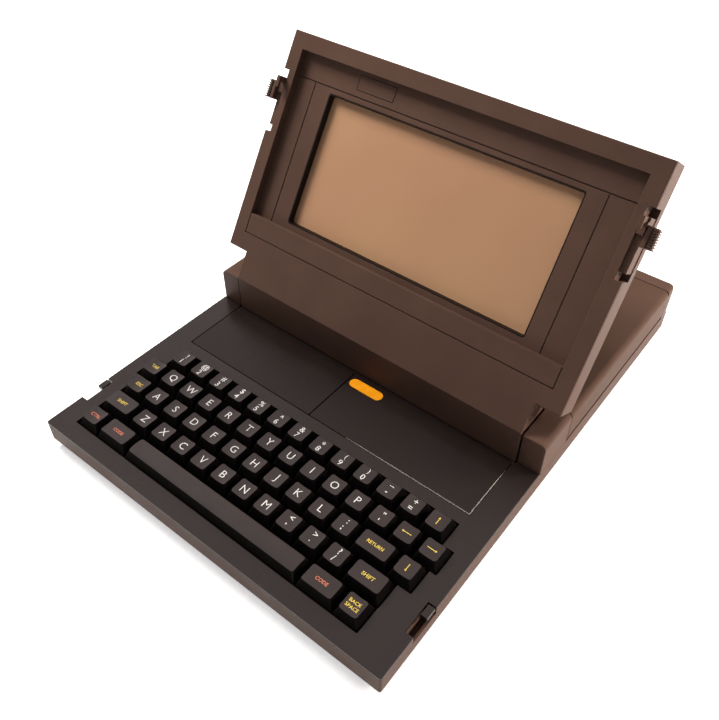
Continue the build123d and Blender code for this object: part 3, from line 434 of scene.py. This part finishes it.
def grown(name, tree, inputs):
    """Runs a Geometry Nodes tree and keeps its result as a plain mesh object."""
    holder = new_piece(name + "_maker", bpy.data.meshes.new(name + "_maker"))
    modifier = holder.modifiers.new("grow", "NODES")
    modifier.node_group = tree
    entries = [item for item in tree.interface.items_tree if item.in_out == "INPUT"]
    identifiers = {item.name: item.identifier for item in entries}
    for input_name, value in inputs.items():
        modifier[identifiers[input_name]] = value
    bpy.context.view_layer.update()
    graph = bpy.context.evaluated_depsgraph_get()
    mesh = bpy.data.meshes.new_from_object(holder.evaluated_get(graph))
    mesh.name = name
    holder.modifiers.remove(modifier)
    bpy.data.objects.remove(holder)
    return new_piece(name, mesh)


key_satin, place = new_material("key_satin")
grain = place.make("TexNoise", None, {"Vector": place, "Scale": 1500.0, "Detail": 2.0})
smear = place.make("TexNoise", None, {"Vector": place, "Scale": 70.0, "Detail": 3.0})
facing = place.make("SeparateXYZ", None, {0: place.make("NewGeometry", None, None, out=1)}, out=2)
key_bump = place.make("Bump", None, {"Strength": 0.25, "Distance": 0.00006, "Height": grain})
cap_face = place.make("BsdfPrincipled", None, {
    "Base Color": smear.between(0.3, 0.7).mix((0.019, 0.0135, 0.0130, 1), (0.025, 0.018, 0.017, 1)),
    "Roughness": 0.26 + 0.12 * smear, "Normal": key_bump, "IOR": 1.5})
# The sides are a near-black copy of the top's finish with almost no shine: painted shade, for the shadow that the
# sides stand in.
painted_shade_side = place.make("BsdfPrincipled", None, {
    "Base Color": smear.between(0.3, 0.7).mix((0.0022, 0.0016, 0.0015, 1), (0.0032, 0.0024, 0.0022, 1)),
    "Roughness": 0.60 + 0.1 * smear, "Normal": key_bump, "Specular IOR Level": 0.06})
end_with(place, place.make("MixShader", None, {0: facing.between(0.45, 0.75), 1: painted_shade_side, 2: cap_face}))

caps_by_width = {1: key_cap("single_cap", 1), 1.5: key_cap("wide_cap", 1.5), 8: key_cap("bar_cap", 8)}
key_rows = {
    1: [("number_keys", 1, 12), ("arrow_up_key", 1, 1)],
    2: [("tab_key", 1, 1), ("upper_letter_keys", 1, 11), ("arrow_left_key", 1, 1), ("arrow_right_key", 1, 1)],
    3: [("escape_key", 1, 1), ("middle_letter_keys", 1, 10), ("return_key", 1.5, 1), ("arrow_down_key", 1, 1)],
    4: [("left_shift_key", 1.5, 1), ("lower_letter_keys", 1, 10), ("right_shift_key", 1.5, 1)],
    5: [("control_key", 1, 1), ("left_code_key", 1.5, 1), ("space_bar", 8, 1), ("right_code_key", 1.5, 1),
        ("backspace_key", 1, 1)],
}
key_places = {}
for row, keys in key_rows.items():
    left = row_left[row]
    for key_name, units, count in keys:
        places = [(left + (k + 0.5) * units * key_pitch, row_y(row), units) for k in range(count)]
        caps = grown(key_name + "_caps", shape_row, {
            "Shape": caps_by_width[units], "Count": count, "First": (places[0][0], row_y(row), 0.0),
            "Pitch": (key_pitch, 0.0, 0.0), "Finish": key_satin})
        key_places[key_name] = places
        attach(caps, key_name)
        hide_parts(key_name)
        left += units * count * key_pitch
for source in caps_by_width.values():
    bpy.data.objects.remove(source)


# Key legends
# Letters, figures and words printed in slightly worn ink: white on the letter keys, yellow on the
# working keys and red on the control and code keys.
letter_height = 0.0058
symbol_height = 0.0045
bracket_height = 0.0036
word_height = 0.0024
large_word_height = 0.00265
capital_share = 0.73
mark_thinning = 0.00005
word_thickening = 0.00004
ink_lift = 0.00006
stack_lean, stack_rise = 0.0003, 0.0028
word_rise = 0.0018
long_arrow, short_arrow = 0.0070, 0.0056


def print_ink(name, colour):
    material, place = new_material(name)
    wear = place.make("TexNoise", None, {"Vector": place, "Scale": 1100.0, "Detail": 2.0}).between(0.25, 0.6)
    worn = tuple(0.8 * c for c in colour) + (1,)
    end_with(place, place.make("BsdfPrincipled", None, {
        "Base Color": wear.mix(worn, colour + (1,)), "Roughness": 0.45 + 0.1 * wear}))
    return material


inks = {"white": print_ink("white_ink", (0.74, 0.72, 0.70)),
        "yellow": print_ink("yellow_ink", (0.78, 0.56, 0.10)),
        "red": print_ink("red_ink", (0.66, 0.20, 0.12))}


def glyphs(text, height):
    """Flat outline of a word, centred on the origin, with capitals of a given height."""
    curve = bpy.data.curves.new("legend", "FONT")
    curve.body = text
    curve.size = height / capital_share
    curve.offset = word_thickening if height < letter_height else -mark_thinning
    curve.resolution_u = 3
    curve.fill_mode = "FRONT"
    holder = new_piece("legend", curve)
    bpy.context.view_layer.update()
    graph = bpy.context.evaluated_depsgraph_get()
    mesh = bpy.data.meshes.new_from_object(holder.evaluated_get(graph))
    bpy.data.objects.remove(holder)
    bpy.data.curves.remove(curve)
    across, along = ([v.co[axis] for v in mesh.vertices] for axis in (0, 1))
    middle_x, middle_y = (min(across) + max(across)) / 2, (min(along) + max(along)) / 2
    mesh.transform(Matrix.Translation((-middle_x, -middle_y, 0)))
    return mesh


def arrow(turn, length):
    """Flat arrow that points right, turned about the origin."""
    half, head = 0.00026, 0.0012
    barb, shaft = head * 0.7, length / 2
    points = [(-shaft, -half), (shaft - head, -half), (shaft - head, -barb), (shaft, 0),
              (shaft - head, barb), (shaft - head, half), (-shaft, half)]
    mesh = bpy.data.meshes.new("legend")
    mesh.from_pydata([(x, y, 0) for x, y in points], [], [tuple(range(7))])
    mesh.transform(Matrix.Rotation(turn, 4, "Z"))
    return mesh


def print_legends(body, ink, marks):
    """Joins the flat marks of a key's body, each laid on its cap's top, into one mesh."""
    shape = bmesh.new()
    for mark, (x, y, units), (dx, dy) in marks:
        first = len(shape.verts)
        shape.from_mesh(mark)
        shape.verts.ensure_lookup_table()
        for vert in shape.verts[first:]:
            place_x, place_y = vert.co.x + dx, vert.co.y + dy
            vert.co = Vector((x + place_x, y + place_y, cap_surface(place_x, place_y, units) + ink_lift))
        bpy.data.meshes.remove(mark)
    shape.normal_update()
    for face in shape.faces:
        if face.normal.z < 0:
            face.normal_flip()
        face.material_index = 0
    piece = piece_of(body + "_legends", shape, inks[ink])
    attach(piece, body)


def stacked(lower, upper, key):
    """A figure or stop in front and the shifted sign behind it."""
    upper_height = bracket_height if upper in "()" else symbol_height
    return [(glyphs(lower, symbol_height), key, (-stack_lean, -stack_rise)),
            (glyphs(upper, upper_height), key, (stack_lean, stack_rise))]


def lettered(letters, keys):
    return [(glyphs(letter, letter_height), key, (0, 0)) for letter, key in zip(letters, keys)]


marks = []
number_signs = ("1!", "2@", "3#", "4$", "5%", "6^", "7&", "8*", "9(", "0)", "-_", "=+")
for pair, key in zip(number_signs, key_places["number_keys"]):
    marks += stacked(pair[0], pair[1], key)
print_legends("number_keys", "white", marks)
keys = key_places["upper_letter_keys"]
print_legends("upper_letter_keys", "white", lettered("QWERTYUIOP", keys) + stacked("'", '"', keys[10]))
keys = key_places["middle_letter_keys"]
print_legends("middle_letter_keys", "white", lettered("ASDFGHJKL", keys) + stacked(";", ":", keys[9]))
keys = key_places["lower_letter_keys"]
marks = lettered("ZXCVBNM", keys)
for pair, key in zip((",<", ".>", "/?"), keys[7:]):
    marks += stacked(pair[0], pair[1], key)
print_legends("lower_letter_keys", "white", marks)
for body, word, ink, height in (
        ("tab_key", "TAB", "yellow", large_word_height), ("escape_key", "ESC", "yellow", large_word_height),
        ("left_shift_key", "SHIFT", "yellow", large_word_height),
        ("right_shift_key", "SHIFT", "yellow", large_word_height),
        ("return_key", "RETURN", "yellow", word_height), ("control_key", "CTRL", "red", large_word_height),
        ("left_code_key", "CODE", "red", word_height), ("right_code_key", "CODE", "red", word_height)):
    print_legends(body, ink, [(glyphs(word, height), key_places[body][0], (0, 0))])
back_key = key_places["backspace_key"][0]
print_legends("backspace_key", "yellow", [(glyphs("BACK", word_height), back_key, (0, word_rise)),
                                          (glyphs("SPACE", word_height), back_key, (0, -word_rise))])
for body, turn, length in (("arrow_up_key", pi / 2, short_arrow), ("arrow_down_key", -pi / 2, short_arrow),
                           ("arrow_left_key", pi, long_arrow), ("arrow_right_key", 0, long_arrow)):
    print_legends(body, "yellow", [(arrow(turn, length), key_places[body][0], (0, 0))])


# Screen
# A flat display behind an amber-tinted front glass, whose matt anti-glare face scatters the
# light. The glass is held in a thin well, whose walls are painted black as shade.
screen_amber, place = new_material("screen_amber")
cloud = place.make("TexNoise", None, {"Vector": place, "Scale": 9.0, "Detail": 1.0})
film = place.make("TexNoise", None, {"Vector": place, "Scale": 2600.0, "Detail": 1.0})
screen_bump = place.make("Bump", None, {"Strength": 0.12, "Distance": 0.00005, "Height": film})
end_with(place, place.make("BsdfPrincipled", None, {
    "Base Color": cloud.between(0.35, 0.65).mix((0.445, 0.244, 0.140, 1), (0.475, 0.275, 0.148, 1)),
    "Roughness": 0.40 + 0.05 * cloud, "Normal": screen_bump, "Specular IOR Level": 0.25}))
dress(screen_amber, "screen_glass")

# Black trim for the back panel, sockets, switch and key switches. On the window's well, the keyboard plate under
# the caps and the ring round the panel plate, this black is painted shade.
black_trim_and_painted_shade = moulded_plastic("black_trim_and_painted_shade", (0.012, 0.008, 0.006), (0.03, 0.020, 0.016), grain=1400.0,
                              grain_depth=0.0001, roughness=0.45, edge_width=0.0003, shine=0.12)
dress(black_trim_and_painted_shade, "window_frame", "rear_panel", "power_inlet", "phone_sockets", "power_switch_frame",
      "power_rocker", "key_switches", "module_sockets", "keyboard_plate")


# Panel plate
# A bare plate of the case's plastic with a fine raised edge, stuck to the display panel above the
# screen's left corner. A thin black ring round it is painted shadow along its edge.
hinge_line = Vector((0, -0.0034, 0.0438))
lid_lean = radians(32.4)
lid_up = Vector((0, sin(lid_lean), cos(lid_lean)))
lid_out = Vector((0, -cos(lid_lean), sin(lid_lean)))
plate_left, plate_right = -0.0832, -0.0514
plate_low, plate_high = 0.1637, 0.1736
panel_face = 0.0121
plate_root = -0.0002
plate_rise = 0.00035
plate_edge = 0.0004
plate_corner = 0.0006
edge_slope = 0.0001
bare_margin = 0.001
line_width, line_proud = 0.00045, 0.00008
middle_x, middle_along = (plate_left + plate_right) / 2, (plate_low + plate_high) / 2
half_x, half_along = (plate_right - plate_left) / 2, (plate_high - plate_low) / 2


def on_lid(x, along, out):
    """A point on the lid, counted along it from the hinge line and out of it."""
    return hinge_line + Vector((x, 0, 0)) + lid_up * along + lid_out * out


def plate_ring(shape, margin, corner, rise):
    """A ring of points round the plate, at a height over the panel's face."""
    return [shape.verts.new(on_lid(middle_x + p.x, middle_along + p.y, panel_face + rise))
            for p in rounded_ring(half_x + margin, half_along + margin, corner)]


shape = bmesh.new()
bare_rise = plate_rise * 0.4
close_levels(shape, [plate_ring(shape, -inset, plate_corner, rise) for inset, rise in (
    (0.0, plate_root), (0.0, plate_rise * 0.6), (edge_slope, plate_rise), (plate_edge, plate_rise),
    (plate_edge + edge_slope, bare_rise), (plate_edge + bare_margin, bare_rise))])
panel_plate = smooth_piece("panel_plate", shape, 40)
panel_plate.data.materials.append(case_brown)
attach(panel_plate, "lid")

# The black ring round the plate is painted shadow along its edge.
shape = bmesh.new()
levels = [plate_ring(shape, margin, plate_corner + margin, rise) for margin, rise in (
    (0.0, plate_root), (line_width, plate_root), (line_width, line_proud), (0.0, line_proud))]
for lower, upper in zip(levels, levels[1:] + levels[:1]):
    join_rings(shape, lower, upper)
plate_line = smooth_piece("plate_line", shape, 40)
plate_line.data.materials.append(black_trim_and_painted_shade)
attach(plate_line, "lid")


# Metal, boards and inside units
# Plated steel shells and hinge pins, gold-plated contacts, lacquered green boards, and the grey
# cases of the power supply, memory and display units, which are screwed inside the base and lid.
def brushed_metal(name, colour, bright):
    material, place = new_material(name)
    along = place.make("Mapping", None, {"Vector": place, "Scale": (40.0, 900.0, 900.0)})
    brush = place.make("TexNoise", None, {"Vector": along, "Scale": 1.0, "Detail": 3.0})
    brush_bump = place.make("Bump", None, {"Strength": 0.2, "Distance": 0.00005, "Height": brush})
    end_with(place, place.make("BsdfPrincipled", None, {
        "Base Color": brush.mix(colour + (1,), bright + (1,)), "Metallic": 1.0,
        "Roughness": 0.28 + 0.2 * brush, "Normal": brush_bump}))
    return material


plated_steel = brushed_metal("plated_steel", (0.42, 0.41, 0.39), (0.56, 0.55, 0.53))
dress(plated_steel, "hinge_pins", "serial_socket", "instrument_socket")
gold_plate = brushed_metal("gold_plate", (0.66, 0.46, 0.18), (0.82, 0.62, 0.28))

board_green, place = new_material("board_green")
tracks = place.make("TexVoronoi", {"feature": "F1", "distance": "MANHATTAN"}, {"Vector": place, "Scale": 320.0})
end_with(place, place.make("BsdfPrincipled", None, {
    "Base Color": tracks.between(0.3, 0.5).mix((0.02, 0.14, 0.06, 1), (0.015, 0.08, 0.035, 1)),
    "Roughness": 0.35 + 0.1 * tracks, "Coat Weight": 0.3}))
dress(board_green, "main_board", "keyboard_board")
unit_grey = moulded_plastic("unit_grey", (0.30, 0.30, 0.29), (0.45, 0.45, 0.44), grain=800.0, grain_depth=0.0002,
                            roughness=0.5, edge_width=0.0005, shine=0.5)
dress(unit_grey, "power_supply", "memory_module", "display_module")


# Feet
# Four round feet of matt, dusty rubber, pressed into the tray: two at the front and two at the
# rear.
rubber_matt = moulded_plastic("rubber_matt", (0.018, 0.017, 0.017), (0.05, 0.05, 0.05), grain=700.0,
                              grain_depth=0.0002, roughness=0.75, edge_width=0.0004, shine=0.3)
dress(rubber_matt, "front_feet", "rear_feet")


# Screws
# Plated cross-head screws: nine hold the base together from below and two hold the socket panel.
# Six-sided jack posts, bored for a plug's screws, stand beside the two wide sockets.
sunk = -0.0002
head_levels = ((1.0, 0.35), (0.93, 0.7), (0.78, 0.95), (0.66, 1.0))
facing_down = Matrix.Rotation(pi, 4, "X")
facing_back = Matrix.Rotation(-pi / 2, 4, "X")


def screw_head(name, radius, height, turn):
    """A domed head with a cross recess, seated at the origin, turned to the side that it faces."""
    shape = bmesh.new()
    arm, half_arm, recess = radius * 0.55, radius * 0.13, height * 0.55
    bend = atan2(half_arm, arm)
    angles = [quarter * pi / 2 + step for quarter in range(4) for step in (0, bend, pi / 4, pi / 2 - bend)]
    cross = [(arm, 0), (arm, half_arm), (half_arm, half_arm), (half_arm, arm)]
    levels = []
    for share, level in ((1.0, sunk), *((share, height * rise) for share, rise in head_levels)):
        levels.append([shape.verts.new((radius * share * cos(a), radius * share * sin(a), level))
                       for a in angles])
    for level in (height, height - recess):
        levels.append([shape.verts.new(Matrix.Rotation(quarter * pi / 2, 3, "Z") @ Vector((x, y, level)))
                       for quarter in range(4) for x, y in cross])
    close_levels(shape, levels)
    bmesh.ops.transform(shape, matrix=turn, verts=shape.verts)
    return smooth_piece(name, shape, 35)


def joined(name, pieces):
    """Puts pieces together as one plain mesh object."""
    shape = bmesh.new()
    finishes = []
    for piece in pieces:
        first = len(shape.faces)
        shape.from_mesh(piece.data)
        shape.faces.ensure_lookup_table()
        for face in shape.faces[first:]:
            face.material_index = len(finishes)
        finishes.append(piece.data.materials[0])
        bpy.data.objects.remove(piece)
    return piece_of(name, shape, *finishes)


tray_bottom = 0.002
screw_left, screw_span = -0.125, 0.25
base_screw = screw_head("base_screw", 0.0032, 0.0011, facing_down)
base_screws = joined("base_screws", [grown("screws_" + row_name, shape_row, {
    "Shape": base_screw, "Count": count, "First": (first_x, y, tray_bottom),
    "Pitch": (screw_span / max(1, count - 1), 0.0, 0.0), "Finish": plated_steel})
    for row_name, first_x, y, count in (("front", 0.0, -0.179, 1), ("keys", screw_left, -0.086, 3),
                                        ("board", screw_left, 0.024, 3), ("leg", screw_left, 0.120, 2))])
bpy.data.objects.remove(base_screw)

socket_height = 0.0371
panel_back_y = 0.1865
panel_screw_left, panel_screw_span = -0.1315, 0.263
panel_screw = screw_head("panel_screw", 0.0026, 0.0010, facing_back)
panel_screws = grown("panel_screws", shape_row, {
    "Shape": panel_screw, "Count": 2, "First": (panel_screw_left, panel_back_y, socket_height),
    "Pitch": (panel_screw_span, 0.0, 0.0), "Finish": plated_steel})
bpy.data.objects.remove(panel_screw)


def round_bar(name, radius, length, sides, hollow=0.0):
    """A bar that stands on the origin and points back, with a rounded end and a bore if it is hollow."""
    shape = bmesh.new()
    steps = [(1.0, sunk), (1.0, length - 0.3 * radius), (0.75, length)]
    if hollow:
        steps += [(hollow, length), (hollow, length * 0.4)]
    angles = [2 * pi * k / sides for k in range(sides)]
    close_levels(shape, [[shape.verts.new((radius * share * cos(a), -radius * share * sin(a), y)) for a in angles]
                         for share, y in steps])
    bmesh.ops.recalc_face_normals(shape, faces=shape.faces)
    bmesh.ops.transform(shape, matrix=facing_back, verts=shape.verts)
    return smooth_piece(name, shape, 40)


jack_post = round_bar("jack_post", 0.0019, 0.0022, 6, 0.5)
jack_posts = joined("jack_posts", [grown(pair_name, shape_row, {
    "Shape": jack_post, "Count": 2, "First": (first_x, panel_back_y, socket_height),
    "Pitch": (gap, 0.0, 0.0), "Finish": plated_steel})
    for pair_name, first_x, gap in (("posts_0", -0.0755, 0.071), ("posts_1", 0.0, 0.060))])
bpy.data.objects.remove(jack_post)
for piece in (base_screws, panel_screws, jack_posts):
    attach(piece, "base")


# Socket insides
# Black insulating blocks in the plated shells with rows of plated pins and contacts, the three
# blades of the mains inlet, and the sprung wires of the two telephone sockets.
def block_between(name, low, high, edge):
    """A block with chamfered edges between two corners."""
    shape = bmesh.new()
    bmesh.ops.create_cube(shape, size=1.0)
    size = Vector(high) - Vector(low)
    for vert in shape.verts:
        vert.co = Vector(low) + Vector((size[axis] * (vert.co[axis] + 0.5) for axis in range(3)))
    bmesh.ops.bevel(shape, geom=shape.edges[:], offset=edge, segments=2, profile=0.5, affect="EDGES")
    return smooth_piece(name, shape, 40)


socket_floor_y = 0.1715
block_foot_y = socket_floor_y - 0.0004
pin_blocks = [
    block_between("serial_block", (0.0065, block_foot_y, 0.0333), (0.0535, 0.1812, 0.0409), 0.0008),
    block_between("instrument_block", (-0.0660, block_foot_y, 0.0351), (-0.0140, 0.1868, 0.0391), 0.0006),
]
for piece in pin_blocks:
    piece.data.materials.append(black_trim_and_painted_shade)
insulators = joined("insulators", pin_blocks)

wire_slope = radians(-32)
serial_pin = round_bar("serial_pin", 0.0005, 0.0056, 6)
contact = block_between("contact", (-0.0011, 0.0, -0.00012), (0.0011, 0.0125, 0.00012), 0.00008)
blade = block_between("blade", (-0.0010, -0.0002, -0.0020), (0.0010, 0.0125, 0.0020), 0.0006)
wire = block_between("wire", (-0.0002, 0.0, -0.0002), (0.0002, 0.0115, 0.0002), 0.0001)
wire.data.transform(Matrix.Rotation(wire_slope, 4, "X"))
pin_rows = []
for row_name, pin, finish, first, pitch, count in (
        ("upper", serial_pin, gold_plate, (0.01344, 0.1811, 0.03852), 0.00276, 13),
        ("lower", serial_pin, gold_plate, (0.01482, 0.1811, 0.03568), 0.00276, 12),
        ("over", contact, gold_plate, (-0.06330, 0.1738, 0.03917), 0.00424, 12),
        ("under", contact, gold_plate, (-0.06330, 0.1738, 0.03503), 0.00424, 12),
        ("mains", blade, plated_steel, (0.1050, socket_floor_y, 0.0391), 0.0140, 2),
        ("earth", blade, plated_steel, (0.1120, socket_floor_y, 0.0345), 0.0140, 1),
        ("inner_phone", wire, gold_plate, (-0.09855, 0.1718, 0.0405), 0.00102, 6),
        ("outer_phone", wire, gold_plate, (-0.11655, 0.1718, 0.0405), 0.00102, 6)):
    pin_rows.append(grown("pins_" + row_name, shape_row, {
        "Shape": pin, "Count": count, "First": first, "Pitch": (pitch, 0.0, 0.0), "Finish": finish}))
socket_pins = joined("socket_pins", pin_rows)
for source in (serial_pin, contact, blade, wire):
    bpy.data.objects.remove(source)
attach(insulators, "base")
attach(socket_pins, "base")


# Switch marks
# The on and off strokes, printed in white ink on the two halves of the power rocker: an upright
# above for on, and a ring below for off.
rocker_axis = Vector((0.080, 0.184, socket_height))
rocker_face = 0.0049
rest_tilt = radians(8)
stroke = 0.00035
stroke_low, stroke_high = 0.0018, 0.0040
ring_middle, ring_points = -0.0029, 24
ring_outside, ring_inside = 0.0012, 0.0007


def on_rocker(x, up):
    """A point just clear of the rocker's flat, counted from the middle of its face."""
    face_point = Vector((x, rocker_face + ink_lift, up))
    return rocker_axis + Matrix.Rotation(-rest_tilt, 3, "X") @ face_point


shape = bmesh.new()
upright = [(-stroke, stroke_low), (stroke, stroke_low), (stroke, stroke_high), (-stroke, stroke_high)]
shape.faces.new([shape.verts.new(on_rocker(-x, up)) for x, up in upright])
angles = [2 * pi * k / ring_points for k in range(ring_points)]
outer, inner = ([shape.verts.new(on_rocker(-radius * cos(a), ring_middle + radius * sin(a))) for a in angles]
                for radius in (ring_outside, ring_inside))
join_rings(shape, outer, inner)
shape.normal_update()
for face in shape.faces:
    if face.normal.y < 0:
        face.normal_flip()
switch_marks = piece_of("switch_marks", shape, inks["white"])
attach(switch_marks, "power_rocker")
